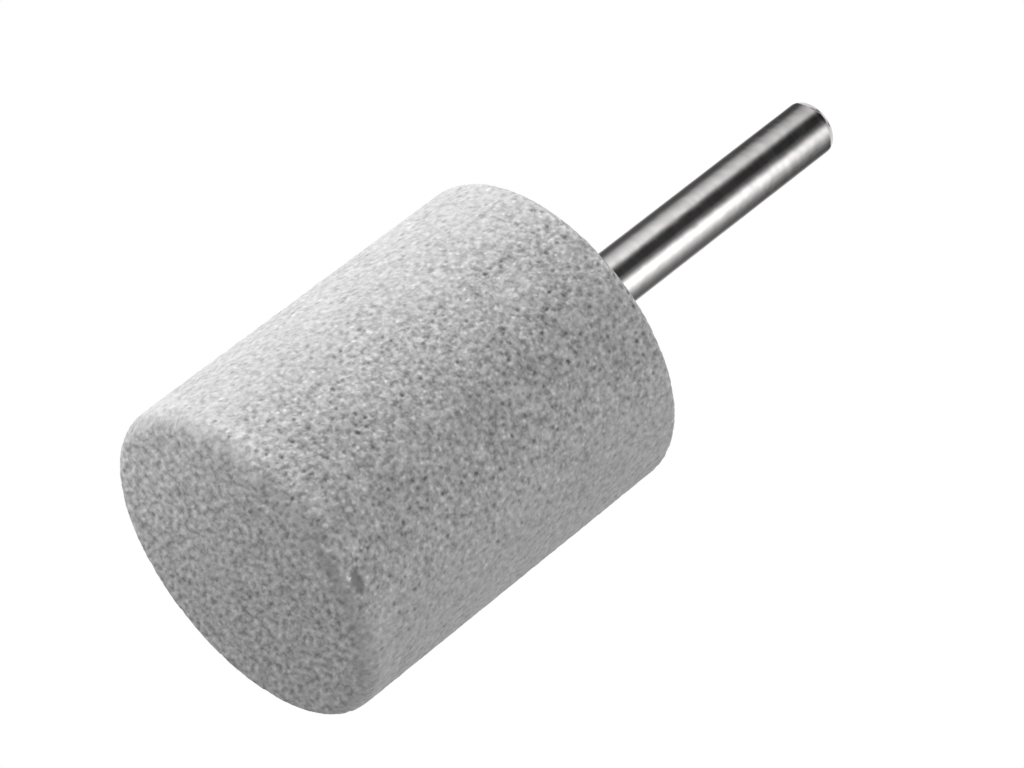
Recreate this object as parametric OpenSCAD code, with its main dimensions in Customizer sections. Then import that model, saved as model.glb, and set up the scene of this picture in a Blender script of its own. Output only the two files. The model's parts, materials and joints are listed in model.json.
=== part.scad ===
// Mounted point: a cylindrical abrasive head cemented on a straight steel shank.
// The origin is the centre of the working face, and +Z runs along the axis to the shank's free end.

/* [Abrasive head] */
// Diameter of the head
head_d = 34; // [20:0.5:60]
// Length of the head along the axis
head_l = 42.5; // [34:0.5:80]
// Rounding of the edge round the working face
front_edge_r = 1.9; // [0.2:0.1:4]
// Rounding of the edge on the shank side
back_edge_r = 1.5; // [0.2:0.1:4]

/* [Shank] */
// Diameter of the shank, as the collet grips it
shank_d = 6; // [4:0.5:10]
// Free length of the shank outside the head
shank_l = 39; // [20:1:100]
// Rounding of the shank's free end
tip_r = 1; // [0.2:0.1:1.8]

/* [Cemented seat] */
// Depth of the blind socket in the head
socket_depth = 22; // [18:0.5:30]
// Room for the cement round the shank at the socket's mouth
cement_gap = 0.1; // [0.05:0.05:0.3]
// How far the buried root is turned down below the shank's surface
root_relief = 0.25; // [0.2:0.05:0.4]
// Chamfer on the root's end
root_chamfer = 0.6; // [0.4:0.1:1]

/* [Straight knurl on the root] */
// Length of the knurled stretch, from the root's end
knurl_l = 17; // [6:0.5:17]
// Spacing of the grooves round the root
knurl_pitch = 1; // [0.8:0.05:2]
// Depth of a groove, which has a right angle between its flanks
knurl_depth = 0.3; // [0.15:0.05:0.35]

/* [Hidden] */
$fn = 96;
overcut = 1;                                    // how far a cut runs past the surface that it opens

head_r = head_d / 2;
shank_r = shank_d / 2;
shank_end = head_l + shank_l;
socket_r = shank_r + cement_gap;
root_r = shank_r - root_relief;
root_start = head_l - socket_depth;             // floor of the socket, on which the root is seated
knurl_count = floor(2 * PI * root_r / knurl_pitch);

// Quarter disc that rounds the upper outer corner of a half outline
module edge_round(edge_r) {
    intersection() {
        circle(r = edge_r);
        square(edge_r);
    }
}

// Half outline of the head, stepped in at both edges, with a quarter disc in each step
module head_outline() {
    front_x = head_r - front_edge_r;
    back_x = head_r - back_edge_r;
    back_y = head_l - back_edge_r;
    polygon([
        [0, 0], [front_x, 0], [front_x, front_edge_r], [head_r, front_edge_r],
        [head_r, back_y], [back_x, back_y], [back_x, head_l], [0, head_l]
    ]);
    translate([front_x, front_edge_r])
        mirror([0, 1])
            edge_round(front_edge_r);
    translate([back_x, back_y])
        edge_round(back_edge_r);
}

// Half outline of the turned shank: chamfered root, step at the socket's mouth, plain shank, rounded end
module shank_outline() {
    tip_x = shank_r - tip_r;
    tip_y = shank_end - tip_r;
    polygon([
        [0, root_start], [root_r - root_chamfer, root_start], [root_r, root_start + root_chamfer],
        [root_r, head_l - root_relief], [shank_r, head_l],
        [shank_r, tip_y], [tip_x, tip_y], [tip_x, shank_end], [0, shank_end]
    ]);
    translate([tip_x, tip_y])
        edge_round(tip_r);
}

// One groove of the knurl, a right-angled V along the root
module knurl_groove() {
    groove_top = knurl_depth + overcut;
    translate([root_r - knurl_depth, 0, root_start - overcut])
        linear_extrude(knurl_l + overcut)
            polygon([[0, 0], [groove_top, groove_top], [groove_top, -groove_top]]);
}

// Bonded abrasive grain, pressed and fired in one piece with its blind socket
module abrasive_head() {
    color("#acacac")
        difference() {
            rotate_extrude()
                head_outline();
            translate([0, 0, root_start])
                cylinder(r = socket_r, h = socket_depth + overcut);
        }
}

// Steel shank turned in one piece with the knurled root that the cement grips
module shank() {
    color("#c9cacc")
        difference() {
            rotate_extrude()
                shank_outline();
            for (i = [0 : knurl_count - 1])
                rotate(i * 360 / knurl_count)
                    knurl_groove();
        }
}

abrasive_head();
shank();
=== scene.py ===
import json
import math
import random

import bpy
from mathutils import Matrix, Vector, noise


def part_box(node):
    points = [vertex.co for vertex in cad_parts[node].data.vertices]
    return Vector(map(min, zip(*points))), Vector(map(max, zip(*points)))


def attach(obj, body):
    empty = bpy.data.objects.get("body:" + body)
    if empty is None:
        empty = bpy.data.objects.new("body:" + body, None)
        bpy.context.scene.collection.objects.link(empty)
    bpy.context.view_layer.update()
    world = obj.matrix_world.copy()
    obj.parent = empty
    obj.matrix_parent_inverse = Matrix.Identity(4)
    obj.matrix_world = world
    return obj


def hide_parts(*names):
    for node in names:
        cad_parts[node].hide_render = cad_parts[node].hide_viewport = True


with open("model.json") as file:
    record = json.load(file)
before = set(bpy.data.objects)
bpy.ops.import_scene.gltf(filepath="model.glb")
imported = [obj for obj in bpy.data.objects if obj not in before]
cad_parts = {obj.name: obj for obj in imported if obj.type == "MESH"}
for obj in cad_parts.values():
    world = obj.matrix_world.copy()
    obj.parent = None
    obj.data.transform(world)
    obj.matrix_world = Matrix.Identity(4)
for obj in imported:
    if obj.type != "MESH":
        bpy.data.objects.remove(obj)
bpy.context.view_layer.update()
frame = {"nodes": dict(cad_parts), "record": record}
mm = 0.001    # metres in a millimetre: the frame is in metres, the values below are in millimetres

scene = bpy.context.scene
scene.view_settings.view_transform = "Standard"


def hexColour(text):
    # sRGB hex to linear red, green, blue and alpha
    channels = [int(text[at:at + 2], 16) / 255 for at in (1, 3, 5)]
    linear = [c / 12.92 if c <= 0.04045 else ((c + 0.055) / 1.055) ** 2.4 for c in channels]
    return (*linear, 1.0)


def addNode(tree, kind, settings=None, inputs=None):
    # an input that is given as a socket is linked, anything else is set as its value
    node = tree.nodes.new("ShaderNode" + kind)
    for name, value in (settings or {}).items():
        setattr(node, name, value)
    for name, value in (inputs or {}).items():
        if isinstance(value, bpy.types.NodeSocket):
            tree.links.new(value, node.inputs[name])
        else:
            node.inputs[name].default_value = value
    return node


def startMaterial(name):
    material = bpy.data.materials.new(name)
    material.use_nodes = True
    material.node_tree.nodes.clear()
    return material, material.node_tree


def meshObject(name, points, faces):
    mesh = bpy.data.meshes.new(name)
    mesh.from_pydata(points, [], faces)
    mesh.update()
    thing = bpy.data.objects.new(name, mesh)
    scene.collection.objects.link(thing)
    return thing


def smoothRise(value, low, high):
    # 0 below low, 1 above high, with a soft start and end
    share = min(max((value - low) / (high - low), 0.0), 1.0)
    return share * share * (3 - 2 * share)


# The camera stands below the working face and looks up along the part, with the shank turned to the right
photoCamera = {
    "lens": 150.64,                # mm on a 36 mm sensor
    "sensor": 36.0,
    "imageSize": (1024, 768),      # px
    "faceCentre": (236.8, 571.8),  # px, centre of the working face
    "faceDepth": 396.2,            # mm in front of the camera
    "lean": 29.02,                 # degrees, the shank's end leans away
    "roll": 37.90,                 # degrees, the part's axis turns up from the picture's right
}


def addCamera(spec):
    lean = math.radians(spec["lean"])
    roll = math.radians(spec["roll"])
    ahead = Vector((0, math.cos(lean), math.sin(lean)))
    right = Vector((math.sin(roll), -math.sin(lean) * math.cos(roll), math.cos(lean) * math.cos(roll)))
    down = Vector((math.cos(roll), math.sin(lean) * math.sin(roll), -math.cos(lean) * math.sin(roll)))
    pixelSize = spec["sensor"] / spec["imageSize"][0] / spec["lens"]
    across = (spec["faceCentre"][0] - spec["imageSize"][0] / 2) * pixelSize * spec["faceDepth"]
    below = (spec["faceCentre"][1] - spec["imageSize"][1] / 2) * pixelSize * spec["faceDepth"]
    place = -(right * across + down * below + ahead * spec["faceDepth"]) * mm
    lens = bpy.data.cameras.new("photoCamera")
    lens.lens = spec["lens"]
    lens.sensor_width = spec["sensor"]
    lens.sensor_fit = "HORIZONTAL"
    lens.clip_start = 0.01
    lens.clip_end = 20
    camera = bpy.data.objects.new("photoCamera", lens)
    camera.matrix_world = Matrix.Translation(place) @ Matrix((right, -down, -ahead)).transposed().to_4x4()
    scene.collection.objects.link(camera)
    scene.camera = camera


addCamera(photoCamera)
print("camera placed")


# Vitrified aluminium oxide, pressed and fired: grey grains in a glassy bond with open pores between them.
# To the eye it is matte stone, mottled by pale grain tips and darker pores, with faint cloudy patches.
# shade is painted into the stone's hollows and its chip, and a highlight onto the side just behind the
# front rim
stoneLook = {
    "poreColour": "#6e6e6e",
    "bondColour": "#5d5d5d",
    "grainColour": "#dddddd",
    "breakColour": "#e6e6e6",
    "poreStart": 0.06,              # mm below the grains' tops, where painted shade in a hollow begins
    "poreFull": 0.2,                # mm
    "poreShare": 0.75,              # how far the painted shade in the deepest hollow goes to its colour
    "mottleWidth": 0.57,            # mm, a grain with the pore beside it
    "sideStretch": (1, 1, 1),
    "faceStretch": (1, 1.9, 1),     # the working face's mottle is drawn coarser, as the photo shows it
    "sideSpread": (0.05, 0.95),     # noise levels of the darkest and palest tone
    "faceSpread": (0.26, 0.74),
    "faceReach": (0.08, 0.7),       # mm up the rim, where the face's mottle gives way to the side's
    "poreSpacing": 0.75,            # mm between the darker pores
    "tipSpacing": 0.62,             # mm between the pale grain tips
    "dotReach": (0.12, 0.42),       # share of the spacing, where such a dot is full and where it ends
    "dotTone": 0.36,
    "cloudWidth": 5.0,              # mm
    "cloudSpread": (0.3, 0.7),      # noise levels of the darkest and palest cloud
    "cloudTone": 0.04,
    "flankReach": (10.3, 16.2),     # mm from the flanks' plane, where their fainter mottle thins and ends
    "mottleStrength": 1.15,         # away from the flanks
    "flankMottle": 0.56,            # what is left of it on the flanks
    "faceMottle": 0.65,             # the same on the working face
    "dustTone": 0.5,                # between the bond's tone and the grains'
    "wearReach": (1.4, 2.1),        # mm up the side, where the painted highlight behind the rim starts and is full
    "wearFade": (2.6, 4.2),         # mm, where it fades and ends
    "wearTone": 0.04,
    "roughness": (0.98, 0.8),       # of the bond and of the grain tips
    "specularLevel": 0.3,
    "bumpHeight": 0.115,            # mm
}
paleSpotMark = -0.1    # what the head's "hollow" values say where the pale spot is


def vitrifiedOxide(look):
    material, tree = startMaterial("Vitrified aluminium oxide, pressed and fired")
    place = addNode(tree, "TexCoord").outputs["Object"]
    axes = addNode(tree, "SeparateXYZ", {}, {"Vector": place}).outputs
    height = axes["Z"]
    hollow = addNode(tree, "Attribute", {"attribute_name": "hollow"}).outputs["Fac"]

    def mottle(stretch, spread):
        # soft grain with pores and tips in it: 0 is the bond's tone, 1 the grains'
        scale = [1 / (look["mottleWidth"] * share * mm) for share in stretch]
        stretched = addNode(tree, "Mapping", {}, {"Vector": place, "Scale": scale}).outputs[0]
        grains = addNode(tree, "TexNoise", {},
                         {"Vector": stretched, "Scale": 1.0, "Detail": 2.0, "Roughness": 0.5})
        shade = addNode(tree, "MapRange", {}, {0: grains.outputs[0], 1: spread[0], 2: spread[1]})
        pores = (look["poreSpacing"], -look["dotTone"])
        tips = (look["tipSpacing"], look["dotTone"])
        for spacing, change in (pores, tips):
            cells = addNode(tree, "TexVoronoi", {},
                            {"Vector": stretched, "Scale": look["mottleWidth"] / spacing})
            dots = addNode(tree, "MapRange", {}, {0: cells.outputs["Distance"], 1: look["dotReach"][0],
                                                  2: look["dotReach"][1], 3: change, 4: 0.0})
            shade = addNode(tree, "Math", {"operation": "MULTIPLY_ADD"},
                            {0: dots.outputs[0], 1: cells.outputs["Color"], 2: shade.outputs[0]})
        return shade.outputs[0]

    # the working face has its own mottle, which gives way to the side's on the rim
    onSide = addNode(tree, "MapRange", {},
                     {0: height, 1: look["faceReach"][0] * mm, 2: look["faceReach"][1] * mm})
    faceTone = mottle(look["faceStretch"], look["faceSpread"])
    sideTone = mottle(look["sideStretch"], look["sideSpread"])
    mottled = addNode(tree, "Mix", {}, {0: onSide.outputs[0], 2: faceTone, 3: sideTone})
    cloudNoise = addNode(tree, "TexNoise", {},
                         {"Vector": place, "Scale": 1 / (look["cloudWidth"] * mm), "Detail": 3.0})
    clouds = addNode(tree, "MapRange", {},
                     {0: cloudNoise.outputs[0], 1: look["cloudSpread"][0], 2: look["cloudSpread"][1],
                      3: -look["cloudTone"], 4: look["cloudTone"]})
    cloudy = addNode(tree, "Math", {"operation": "ADD"}, {0: mottled.outputs[0], 1: clouds.outputs[0]})

    # the mottle is fainter on two flanks, round the plane y = 0, and on the working face
    fromFlanks = addNode(tree, "Math", {"operation": "ABSOLUTE"}, {0: axes["Y"]})
    sideStrength = addNode(tree, "MapRange", {},
                           {0: fromFlanks.outputs[0], 1: look["flankReach"][0] * mm,
                            2: look["flankReach"][1] * mm, 3: look["flankMottle"],
                            4: look["mottleStrength"]})
    strength = addNode(tree, "Mix", {},
                       {0: onSide.outputs[0], 2: look["faceMottle"], 3: sideStrength.outputs[0]})
    softened = addNode(tree, "Mix", {"clamp_factor": False},
                     {0: strength.outputs[0], 2: look["dustTone"], 3: cloudy.outputs[0]})

    # the side is a little paler just behind the rim: a painted highlight where the rounded rim meets it
    rimHighlightRise = addNode(tree, "MapRange", {},
                       {0: height, 1: look["wearReach"][0] * mm, 2: look["wearReach"][1] * mm})
    rimHighlightFall = addNode(tree, "MapRange", {},
                       {0: height, 1: look["wearFade"][0] * mm, 2: look["wearFade"][1] * mm,
                        3: look["wearTone"], 4: 0.0})
    rimHighlightOrSteelWear = addNode(tree, "Math", {"operation": "MULTIPLY"},
                   {0: rimHighlightRise.outputs[0], 1: rimHighlightFall.outputs[0]})
    tone = addNode(tree, "Math", {"operation": "ADD", "use_clamp": True},
                   {0: softened.outputs[0], 1: rimHighlightOrSteelWear.outputs[0]}).outputs[0]

    # painted shade darkens the hollows, the chip most, and the marked spot is pale
    body = addNode(tree, "Mix", {"data_type": "RGBA"},
                   {0: tone, 6: hexColour(look["bondColour"]), 7: hexColour(look["grainColour"])})
    poreShare = addNode(tree, "MapRange", {},
                        {0: hollow, 1: look["poreStart"], 2: look["poreFull"], 3: 0.0,
                         4: look["poreShare"]})
    hollowShaded = addNode(tree, "Mix", {"data_type": "RGBA"},
                     {0: poreShare.outputs[0], 6: body.outputs[2], 7: hexColour(look["poreColour"])})
    paleSpotShare = addNode(tree, "MapRange", {}, {0: hollow, 1: paleSpotMark * 0.1, 2: paleSpotMark * 0.6})
    stone = addNode(tree, "Mix", {"data_type": "RGBA"},
                    {0: paleSpotShare.outputs[0], 6: hollowShaded.outputs[2], 7: hexColour(look["breakColour"])})
    rough = addNode(tree, "MapRange", {}, {0: tone, 3: look["roughness"][0], 4: look["roughness"][1]})
    bump = addNode(tree, "Bump", {}, {"Strength": 1.0, "Distance": look["bumpHeight"] * mm, "Height": tone})
    shader = addNode(tree, "BsdfPrincipled", {},
                     {"Base Color": stone.outputs[2], "Roughness": rough.outputs[0],
                      "Specular IOR Level": look["specularLevel"], "Normal": bump.outputs[0]})
    addNode(tree, "OutputMaterial", {}, {"Surface": shader.outputs[0]})
    return material


# Bright steel bar, centreless ground and polished: a grey mirror with faint grinding lines round it.
# To the eye it is long hard bands of light and dark along the shank, with faintly uneven edges.
steelLook = {
    "paleColour": "#d2cfcf",
    "dullColour": "#c6c3c3",
    "polish": (0.08, 0.22),     # roughness, least and most
    "lineSpacing": 0.12,        # mm, drawn coarser than real grinding lines so as to show
    "lineLength": 4.0,          # mm round the shank
    "lineDepth": 0.0004,        # mm
    "waveWidth": 1.5,           # mm, faint unevenness that polishing leaves
    "waveDepth": 0.024,         # mm
    "stainWidth": 1.6,          # mm
    "hazeSpread": (0.15, 0.4),  # noise levels of the clearest and the haziest steel
    "endReach": (0.35, 0.05),   # mm below the free end, where its turned finish begins and is full
    "endColour": "#a8a6a5",
    "endRoughness": 0.42,
    "ringSpacing": 0.16,        # mm between the turned rings, drawn coarser than real ones
    "ringDepth": 0.002,         # mm
}


def groundSteel(look):
    material, tree = startMaterial("Bright steel, centreless ground and polished")
    place = addNode(tree, "TexCoord").outputs["Object"]
    roundScale = 1 / (look["lineLength"] * mm)
    alongScale = 1 / (look["lineSpacing"] * mm)
    stretched = addNode(tree, "Mapping", {},
                        {"Vector": place, "Scale": (roundScale, roundScale, alongScale)})
    lines = addNode(tree, "TexNoise", {}, {"Vector": stretched.outputs[0], "Scale": 1.0, "Detail": 2.0})
    stains = addNode(tree, "TexNoise", {},
                     {"Vector": place, "Scale": 1 / (look["stainWidth"] * mm), "Detail": 4.0})
    tone = addNode(tree, "Mix", {"data_type": "RGBA"},
                   {0: stains.outputs[0], 6: hexColour(look["paleColour"]),
                    7: hexColour(look["dullColour"])})
    rimHighlightOrSteelWear = addNode(tree, "Math", {"operation": "MULTIPLY"}, {0: lines.outputs[0], 1: stains.outputs[0]})
    haze = addNode(tree, "MapRange", {},
                   {0: rimHighlightOrSteelWear.outputs[0], 1: look["hazeSpread"][0], 2: look["hazeSpread"][1],
                    3: look["polish"][0], 4: look["polish"][1]})
    waves = addNode(tree, "TexNoise", {},
                    {"Vector": place, "Scale": 1 / (look["waveWidth"] * mm), "Detail": 1.0})
    wavy = addNode(tree, "Bump", {}, {"Strength": 1.0, "Distance": look["waveDepth"] * mm,
                                      "Height": waves.outputs[0]})
    bump = addNode(tree, "Bump", {}, {"Strength": 1.0, "Distance": look["lineDepth"] * mm,
                                      "Height": lines.outputs[0], "Normal": wavy.outputs[0]})

    # the free end is faced on a lathe, so it is duller, darker and ringed
    endStart, endFull = (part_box("shank")[1].z - reach * mm for reach in look["endReach"])
    height = addNode(tree, "SeparateXYZ", {}, {"Vector": place}).outputs[2]
    faced = addNode(tree, "MapRange", {}, {0: height, 1: endStart, 2: endFull}).outputs[0]
    finished = addNode(tree, "Mix", {"data_type": "RGBA"},
                       {0: faced, 6: tone.outputs[2], 7: hexColour(look["endColour"])})
    dull = addNode(tree, "Mix", {}, {0: faced, 2: haze.outputs[0], 3: look["endRoughness"]})
    ringScale = math.tau / 20 / (look["ringSpacing"] * mm)    # the node itself counts 20 radians to a unit
    rings = addNode(tree, "TexWave", {"wave_type": "RINGS", "rings_direction": "Z"},
                    {"Vector": place, "Scale": ringScale})
    turned = addNode(tree, "Math", {"operation": "MULTIPLY"}, {0: rings.outputs["Fac"], 1: faced})
    ringed = addNode(tree, "Bump", {}, {"Strength": 1.0, "Distance": look["ringDepth"] * mm,
                                        "Height": turned.outputs[0], "Normal": bump.outputs[0]})
    shader = addNode(tree, "BsdfPrincipled", {},
                     {"Base Color": finished.outputs[2], "Metallic": 1.0, "Roughness": dull.outputs[0],
                      "Normal": ringed.outputs[0]})
    addNode(tree, "OutputMaterial", {}, {"Surface": shader.outputs[0]})
    return material


# The head is a fine skin of grain over the CAD solid's own outline: every point lies on it or just inside
stoneShape = {
    "frontEdge": 1.9,       # mm, rounding of the rim round the working face
    "backEdge": 1.5,        # mm
    "cementGap": 0.1,       # mm round the shank, at the socket's mouth
    "meshStep": 0.27,       # mm between points
    "leastPoints": 6,       # in a ring
    "jitter": 0.3,          # share of a step by which a point strays
    "faceTilt": -0.7,       # outward direction's z, below which a point counts as working face
    "grainWidth": 0.55,     # mm
    "faceStretch": 1.8,     # grains on the working face are drawn longer along y
    "grainRelief": 0.04,    # mm from a grain's top down to the bond
    "grainSlope": 0.5,      # share of a grain's width, over which it falls to the bond
    "grainUneven": 0.5,     # share of the relief by which the grains' tops differ
    "grainScatter": 7.3,    # spreads the grains' places, so that each draws a number of its own
    "lostGrains": 0.2,      # share of the grains that are pulled out
    "lostDepth": 0.06,      # mm
    "lostReach": (0.25, 0.8),   # shares of a grain's width, where such a pit is full and where it ends
    "swellWidth": 5.0,      # mm, slow unevenness of the pressed surface
    "swellDepth": 0.03,     # mm
    "plainRim": 0.6,        # mm round the socket's mouth without relief
    "chipAngle": 296,       # degrees round the front rim
    "chipHeight": 1.75,     # mm above the working face
    "chipLength": 3.2,      # mm along the rim
    "chipWidth": 1.4,       # mm
    "chipDepth": 0.17,      # mm
    "chipEdge": (0.4, 1.05),    # share of its half size, where it is full and where it ends
    "chipRagged": 0.3,          # share by which that edge strays
    "raggedScale": 2.1,         # strays in a millimetre
    "speckAngle": 293.5,    # degrees, a small pale spot beside the chip
    "speckHeight": 1.18,    # mm
    "speckWidth": 0.5,      # mm
    "seed": 12,
}


class StoneOutline:
    # the head's half section from the working face's centre, over the rims, to the socket's mouth
    def __init__(self, radius, length, front, back, mouth):
        self.radius = radius
        self.length = length
        self.front = front
        self.back = back
        self.stretches = (radius - front, front * math.pi / 2, length - front - back, back * math.pi / 2,
                          radius - back - mouth)
        self.total = sum(self.stretches)

    def at(self, way):
        # radius and height, then the outward direction, at a distance along the outline
        face, frontArc, wall, backArc = self.stretches[:4]
        if way < face:
            return way, 0.0, 0.0, -1.0
        way -= face
        if way < frontArc:
            turn = way / self.front - math.pi / 2
            return (self.radius - self.front * (1 - math.cos(turn)), self.front * (1 + math.sin(turn)),
                    math.cos(turn), math.sin(turn))
        way -= frontArc
        if way < wall:
            return self.radius, self.front + way, 1.0, 0.0
        way -= wall
        if way < backArc:
            turn = way / self.back
            return (self.radius - self.back * (1 - math.cos(turn)),
                    self.length - self.back * (1 - math.sin(turn)), math.cos(turn), math.sin(turn))
        way -= backArc
        return self.radius - self.back - way, self.length, 0.0, 1.0


def grainDepth(point, onFace, spec):
    # how far the surface lies below the outline at a point
    stretch = spec["faceStretch"] if onFace else 1.0
    near, centres = noise.voronoi(Vector((point.x, point.y / stretch, point.z)) / spec["grainWidth"])
    chance = noise.cell(centres[0] * spec["grainScatter"]) * 0.5 + 0.5
    depth = spec["grainRelief"] * (1 - smoothRise(near[1] - near[0], 0.0, spec["grainSlope"]))
    depth += spec["grainRelief"] * spec["grainUneven"] * chance
    if chance > 1 - spec["lostGrains"]:
        depth += spec["lostDepth"] * (1 - smoothRise(near[0], *spec["lostReach"]))
    swell = noise.noise(point / spec["swellWidth"]) * 0.5 + 0.5
    return depth + spec["swellDepth"] * swell


def chipDepth(point, spec, radius):
    # one shallow chip on the front rim
    angle = math.radians(spec["chipAngle"])
    centre = Vector((radius * math.cos(angle), radius * math.sin(angle), spec["chipHeight"]))
    offset = point - centre
    alongRim = offset.dot(Vector((-math.sin(angle), math.cos(angle), 0)))
    acrossRim = math.sqrt(max(offset.length_squared - alongRim ** 2, 0))
    away = math.hypot(alongRim / (spec["chipLength"] / 2), acrossRim / (spec["chipWidth"] / 2))
    ragged = noise.noise(point * spec["raggedScale"]) * spec["chipRagged"]
    return spec["chipDepth"] * (1 - smoothRise(away + ragged, *spec["chipEdge"]))


def onSpeck(point, spec):
    angle = math.radians(spec["speckAngle"])
    reach = math.hypot(point.x, point.y)
    centre = Vector((reach * math.cos(angle), reach * math.sin(angle), spec["speckHeight"]))
    return (point - centre).length < spec["speckWidth"] / 2


def stitchRings(inner, outer):
    # triangles between two rings of points that are sorted by angle, whatever their counts
    faces = []
    first = second = 0
    while first < len(inner) or second < len(outer):
        here = inner[first % len(inner)][1]
        there = outer[second % len(outer)][1]
        nextInner = inner[(first + 1) % len(inner)]
        nextOuter = outer[(second + 1) % len(outer)]
        innerAngle = nextInner[0] + math.tau * ((first + 1) // len(inner))
        outerAngle = nextOuter[0] + math.tau * ((second + 1) // len(outer))
        if second == len(outer) or (first < len(inner) and innerAngle < outerAngle):
            faces.append((here, nextInner[1], there))
            first += 1
        else:
            faces.append((here, nextOuter[1], there))
            second += 1
    return faces


def addBakeMap(head, places, outline, mouth, depth):
    # flat map for baked textures: the side as a strip, both ends as discs, the socket's wall beside them
    face, frontArc, wall, backArc = outline.stretches[:4]
    stripStart = face + frontArc / 2
    stripEnd = face + frontArc + wall + backArc / 2
    wallEnd = outline.total + depth
    margin = 1                                        # mm round each flat piece
    floorShrink = 0.9                                 # keeps the socket's floor clear of the back face
    sheet = outline.radius * math.tau + 4 * margin    # mm across the whole map
    discHeight = stripEnd - stripStart + outline.radius + 3 * margin
    frontCentre = (outline.radius + margin, discHeight)
    backCentre = (outline.radius * 3 + 3 * margin, discHeight)
    layer = head.data.uv_layers.new(name="OFBake")
    flat = []
    for polygon in head.data.polygons:
        corners = [places[index] for index in polygon.vertices]
        middle = sum(way for angle, way in corners) / len(corners)
        last = max(angle for angle, way in corners)
        for angle, way in corners:
            if last - angle > math.pi:
                angle += math.tau
            if stripStart < middle < stripEnd:
                spot = (angle * outline.radius + margin, way - stripStart + margin)
            elif outline.total < middle < wallEnd:
                spot = (backCentre[0] + outline.radius + 2 * margin + angle * mouth,
                        discHeight + way - wallEnd)
            else:
                centre = frontCentre if middle < stripStart else backCentre
                reach = way if middle < stripStart else mouth + outline.total - way
                if middle > wallEnd:
                    reach = (wallEnd + mouth - way) * floorShrink
                spot = (centre[0] + reach * math.cos(angle), centre[1] + reach * math.sin(angle))
            flat += [spot[0] / sheet, spot[1] / sheet]
    layer.data.foreach_set("uv", flat)


def addHead(spec):
    low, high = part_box("abrasive_head")
    shankPin = next(mount for mount in frame["record"]["mounts"] if mount["name"] == "shank")
    mouth = shankPin["dims"]["r_mm"] + spec["cementGap"]
    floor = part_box("shank")[0].z / mm
    radius = round((high.y - low.y) / 2 / mm, 2)
    outline = StoneOutline(radius, round(high.z / mm, 2), spec["frontEdge"], spec["backEdge"], mouth)
    draw = random.Random(spec["seed"])
    points = [Vector((0, 0, 0))]
    depths = [0.0]
    places = [(0.0, 0.0)]    # angle, and distance along the outline
    rings = []
    count = round(outline.total / spec["meshStep"])
    for row in range(1, count + 1):
        plain = row == count
        way = outline.total * row / count
        around = max(spec["leastPoints"], round(math.tau * outline.at(way)[0] / spec["meshStep"]))
        ring = []
        for step in range(around):
            stray = 0 if plain else spec["jitter"]
            angle = math.tau * (step + 0.5 + draw.uniform(-stray, stray)) / around
            spot = way + draw.uniform(-stray, stray) * outline.total / count
            reach, height, outX, outZ = outline.at(spot)
            out = Vector((outX * math.cos(angle), outX * math.sin(angle), outZ))
            point = Vector((reach * math.cos(angle), reach * math.sin(angle), height))
            depth = grainDepth(point, outZ < spec["faceTilt"], spec) + chipDepth(point, spec, radius)
            depth *= smoothRise(outline.total - spot, 0.0, spec["plainRim"])
            ring.append((angle, len(points)))
            points.append(point - out * depth)
            depths.append(paleSpotMark if onSpeck(point, spec) else depth)
            places.append((angle, spot))
        rings.append(ring)
    mouthRing = rings[-1]
    floorRing = [(angle, len(points) + at) for at, (angle, index) in enumerate(mouthRing)]
    for angle, index in mouthRing:
        points.append(Vector((mouth * math.cos(angle), mouth * math.sin(angle), floor)))
        places.append((angle, outline.total + outline.length - floor))
    floorCentre = len(points)
    points.append(Vector((0, 0, floor)))
    places.append((0.0, outline.total + outline.length - floor + mouth))
    depths += [0.0] * (len(mouthRing) + 1)

    faces = []
    for at, (angle, index) in enumerate(rings[0]):
        faces.append((0, rings[0][(at + 1) % len(rings[0])][1], index))
    for inner, outer in zip(rings, rings[1:] + [floorRing]):
        faces += stitchRings(inner, outer)
    for at, (angle, index) in enumerate(floorRing):
        faces.append((index, floorRing[(at + 1) % len(floorRing)][1], floorCentre))

    head = meshObject("bondedHead", [point * mm for point in points], faces)
    # the hollows' depths, which the stone's material turns into painted shade
    hollow = head.data.attributes.new("hollow", "FLOAT", "POINT")
    hollow.data.foreach_set("value", depths)
    addBakeMap(head, places, outline, mouth, outline.length - floor)
    head.data.shade_smooth()
    head.data.materials.append(vitrifiedOxide(stoneLook))
    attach(head, "root")
    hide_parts("abrasive_head")
    return head


head = addHead(stoneShape)
print("bonded head built:", len(head.data.vertices), "points,", len(head.data.polygons), "faces")

shank = frame["nodes"]["shank"]
shank.material_slots[0].material = groundSteel(steelLook)
print("shank polished")


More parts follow.
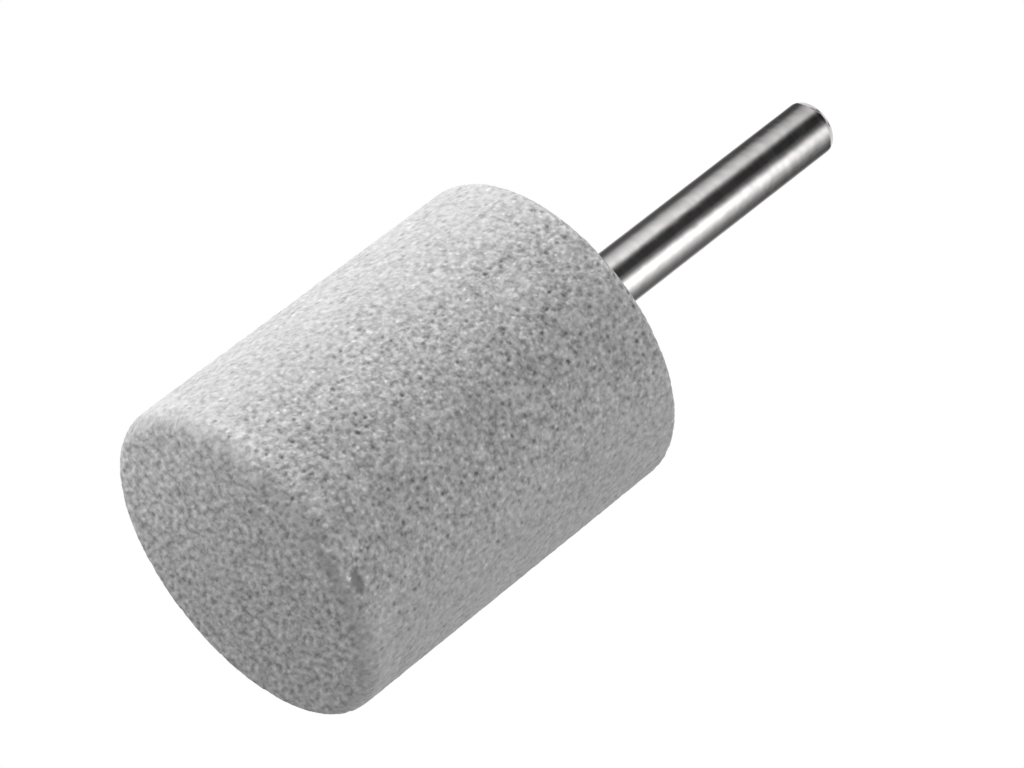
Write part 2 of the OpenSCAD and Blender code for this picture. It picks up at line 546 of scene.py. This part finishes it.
# Plain soft studio light: one large softbox on the left, one behind the right shoulder and a small low one
studio = {
    "target": (0, 0, 20),        # mm
    "keyAngle": 188, "keyOut": 220, "keyHeight": 68, "keySize": (81, 240), "keyLevel": 11.3,
    "fillAngle": 332, "fillOut": 420, "fillHeight": 320, "fillSize": (210, 420), "fillLevel": 2.1,
    "fillTarget": (0, 0, 60),
    "faceSpot": (-20.2, 0, -12), "faceTarget": (-15, 0, 0), "faceSize": (50, 20), "faceLevel": 0.73,
    "skyLevel": 0.586,           # level from the sides, against 1 for white
    "skyRise": 0.102,            # how much more comes from above, and less from below
    "tentOut": 300,              # mm from the axis to the tent's paper
    "tentRows": [(-700, 1.0), (40, 1.0), (100, 0.5), (165, 0.5), (203, 1.22), (250, 1.0), (288, 0.62),
                 (320, 0.55), (400, 0.36), (900, 0.36),
                 (1500, 0.36)],      # mm up, and the share of a stop's level there
    "tentFront": (195, 328),     # degrees, where the paper has no slot
    "tentSlot": (320, 900),      # mm up, open to the white sky at the sides and behind
    "tentStep": 4,               # degrees between its points
    "tentStops": [(103, 0.9), (118, 0.3), (130, 0.13), (147, 0.1), (164, 0.17), (180, 0.57),
                  (200, 1.0), (215, 1.2), (225, 1.1), (232, 0.6), (240, 0.15), (250, 0.04), (273, 0.045),
                  (288, 0.25), (298, 0.9), (305, 1.7), (315, 2.1), (328, 1.8), (345, 0.92), (365, 0.37),
                  (377, 0.24), (395, 0.14), (410, 0.2), (422, 0.5), (435, 1.0)],
    "floorDrop": 0.2,            # mm under the working face
    "floorSize": 4000,           # mm
    "floorFade": (85, 200),      # mm from the axis, where the board runs out to plain white
    "floorColour": "#f4f4f2",
}


def addSoftbox(name, place, target, size, level, upright=(0, 0, 1)):
    # level is the brightness of the box's face, against 1 for white
    lamp = bpy.data.lights.new(name, "AREA")
    lamp.shape = "RECTANGLE"
    lamp.size = size[0] * mm
    lamp.size_y = size[1] * mm
    lamp.energy = level * math.pi * lamp.size * lamp.size_y
    back = (Vector(place) - Vector(target)).normalized()
    side = Vector(upright).cross(back).normalized()
    turn = Matrix((side, back.cross(side), back)).transposed().to_4x4()
    softbox = bpy.data.objects.new(name, lamp)
    softbox.matrix_world = Matrix.Translation(Vector(place) * mm) @ turn
    softbox.visible_camera = False
    scene.collection.objects.link(softbox)
    return softbox


def aroundAxis(angle, out, height):
    return out * math.cos(math.radians(angle)), out * math.sin(math.radians(angle)), height


def addTent(spec):
    # a graded paper tent, open behind and seen only in reflections; a stop is an angle and its level
    material, tree = startMaterial("Tent paper, graded grey")
    level = addNode(tree, "Attribute", {"attribute_name": "level"}).outputs["Fac"]
    glow = addNode(tree, "Emission", {}, {"Strength": level})
    addNode(tree, "OutputMaterial", {}, {"Surface": glow.outputs[0]})
    stops = spec["tentStops"]
    around = []
    for (angle, start), (nextAngle, end) in zip(stops, stops[1:]):
        steps = math.ceil((nextAngle - angle) / spec["tentStep"])
        for step in range(steps):
            share = step / steps
            around.append((angle + (nextAngle - angle) * share, start + (end - start) * share))
    around.append(stops[-1])
    points = []
    levels = []
    for angle, brightness in around:
        for height, share in spec["tentRows"]:
            points.append(Vector(aroundAxis(angle, spec["tentOut"], height)) * mm)
            levels.append(brightness * share)
    rows = len(spec["tentRows"])
    faces = []
    for column in range(len(around) - 1):
        inFront = spec["tentFront"][0] <= around[column][0] < spec["tentFront"][1]
        for row in range(rows - 1):
            inSlot = spec["tentSlot"][0] <= spec["tentRows"][row][0] < spec["tentSlot"][1]
            if inFront or not inSlot:
                corner = column * rows + row
                faces.append((corner, corner + 1, corner + rows + 1, corner + rows))
    tent = meshObject("reflectionTent", points, faces)
    stored = tent.data.attributes.new("level", "FLOAT", "POINT")
    stored.data.foreach_set("value", levels)
    tent.data.materials.append(material)
    tent.visible_camera = False
    tent.visible_diffuse = False
    tent.visible_transmission = False
    tent.visible_shadow = False


def addFloor(spec):
    # a pale floor that takes the part's shadow; from below it is clear, so the part can be seen on it
    material, tree = startMaterial("Painted board, matt")
    side = addNode(tree, "NewGeometry").outputs["Backfacing"]
    place = addNode(tree, "TexCoord").outputs["Object"]
    away = addNode(tree, "VectorMath", {"operation": "LENGTH"}, {0: place})
    fadeStart, fadeEnd = (reach * mm for reach in spec["floorFade"])
    fade = addNode(tree, "MapRange", {"interpolation_type": "SMOOTHSTEP"},
                   {0: away.outputs["Value"], 1: fadeStart, 2: fadeEnd})
    seen = addNode(tree, "Math", {"operation": "MULTIPLY"},
                   {0: fade.outputs[0], 1: addNode(tree, "LightPath").outputs["Is Camera Ray"]})
    painted = addNode(tree, "BsdfDiffuse", {}, {"Color": hexColour(spec["floorColour"])})
    white = addNode(tree, "Emission")
    board = addNode(tree, "MixShader", {}, {0: seen.outputs[0], 1: painted.outputs[0], 2: white.outputs[0]})
    clear = addNode(tree, "BsdfTransparent")
    shown = addNode(tree, "MixShader", {}, {0: side, 1: board.outputs[0], 2: clear.outputs[0]})
    addNode(tree, "OutputMaterial", {}, {"Surface": shown.outputs[0]})
    half = spec["floorSize"] / 2 * mm
    height = -spec["floorDrop"] * mm
    corners = [(-half, -half, height), (half, -half, height), (half, half, height), (-half, half, height)]
    floor = meshObject("floor", corners, [(0, 1, 2, 3)])
    floor.data.materials.append(material)
    floor.visible_diffuse = False
    floor.visible_glossy = False
    floor.visible_transmission = False
    floor.visible_shadow = False


def addSky(spec):
    # white to the camera and in reflections, a soft grey sky for the light on the stone
    world = bpy.data.worlds.new("studioSky")
    world.use_nodes = True
    tree = world.node_tree
    tree.nodes.clear()
    way = addNode(tree, "TexCoord").outputs["Generated"]
    height = addNode(tree, "SeparateXYZ", {}, {"Vector": way})
    soft = addNode(tree, "MapRange", {},
                   {0: height.outputs[2], 1: -1.0, 2: 1.0, 3: spec["skyLevel"] - spec["skyRise"],
                    4: spec["skyLevel"] + spec["skyRise"]})
    ray = addNode(tree, "LightPath")
    seen = addNode(tree, "Math", {"operation": "MAXIMUM"},
                   {0: ray.outputs["Is Camera Ray"], 1: ray.outputs["Is Glossy Ray"]})
    white = addNode(tree, "Math", {"operation": "MAXIMUM"},
                    {0: seen.outputs[0], 1: ray.outputs["Is Transmission Ray"]})
    level = addNode(tree, "Mix", {}, {0: white.outputs[0], 2: soft.outputs[0], 3: 1.0})
    sky = addNode(tree, "Background", {}, {"Color": (1, 1, 1, 1), "Strength": level.outputs[0]})
    addNode(tree, "OutputWorld", {}, {"Surface": sky.outputs[0]})
    scene.world = world


def addStudio(spec):
    key = addSoftbox("keySoftbox", aroundAxis(spec["keyAngle"], spec["keyOut"], spec["keyHeight"]),
                     spec["target"], spec["keySize"], spec["keyLevel"])
    fill = addSoftbox("fillSoftbox", aroundAxis(spec["fillAngle"], spec["fillOut"], spec["fillHeight"]),
                      spec["fillTarget"], spec["fillSize"], spec["fillLevel"])
    low = addSoftbox("faceSoftbox", spec["faceSpot"], spec["faceTarget"], spec["faceSize"],
                     spec["faceLevel"], (1, 0, 0))
    for softbox in (key, fill, low):
        softbox.visible_glossy = False
    addTent(spec)
    addFloor(spec)
    addSky(spec)


addStudio(studio)
print("studio lit")
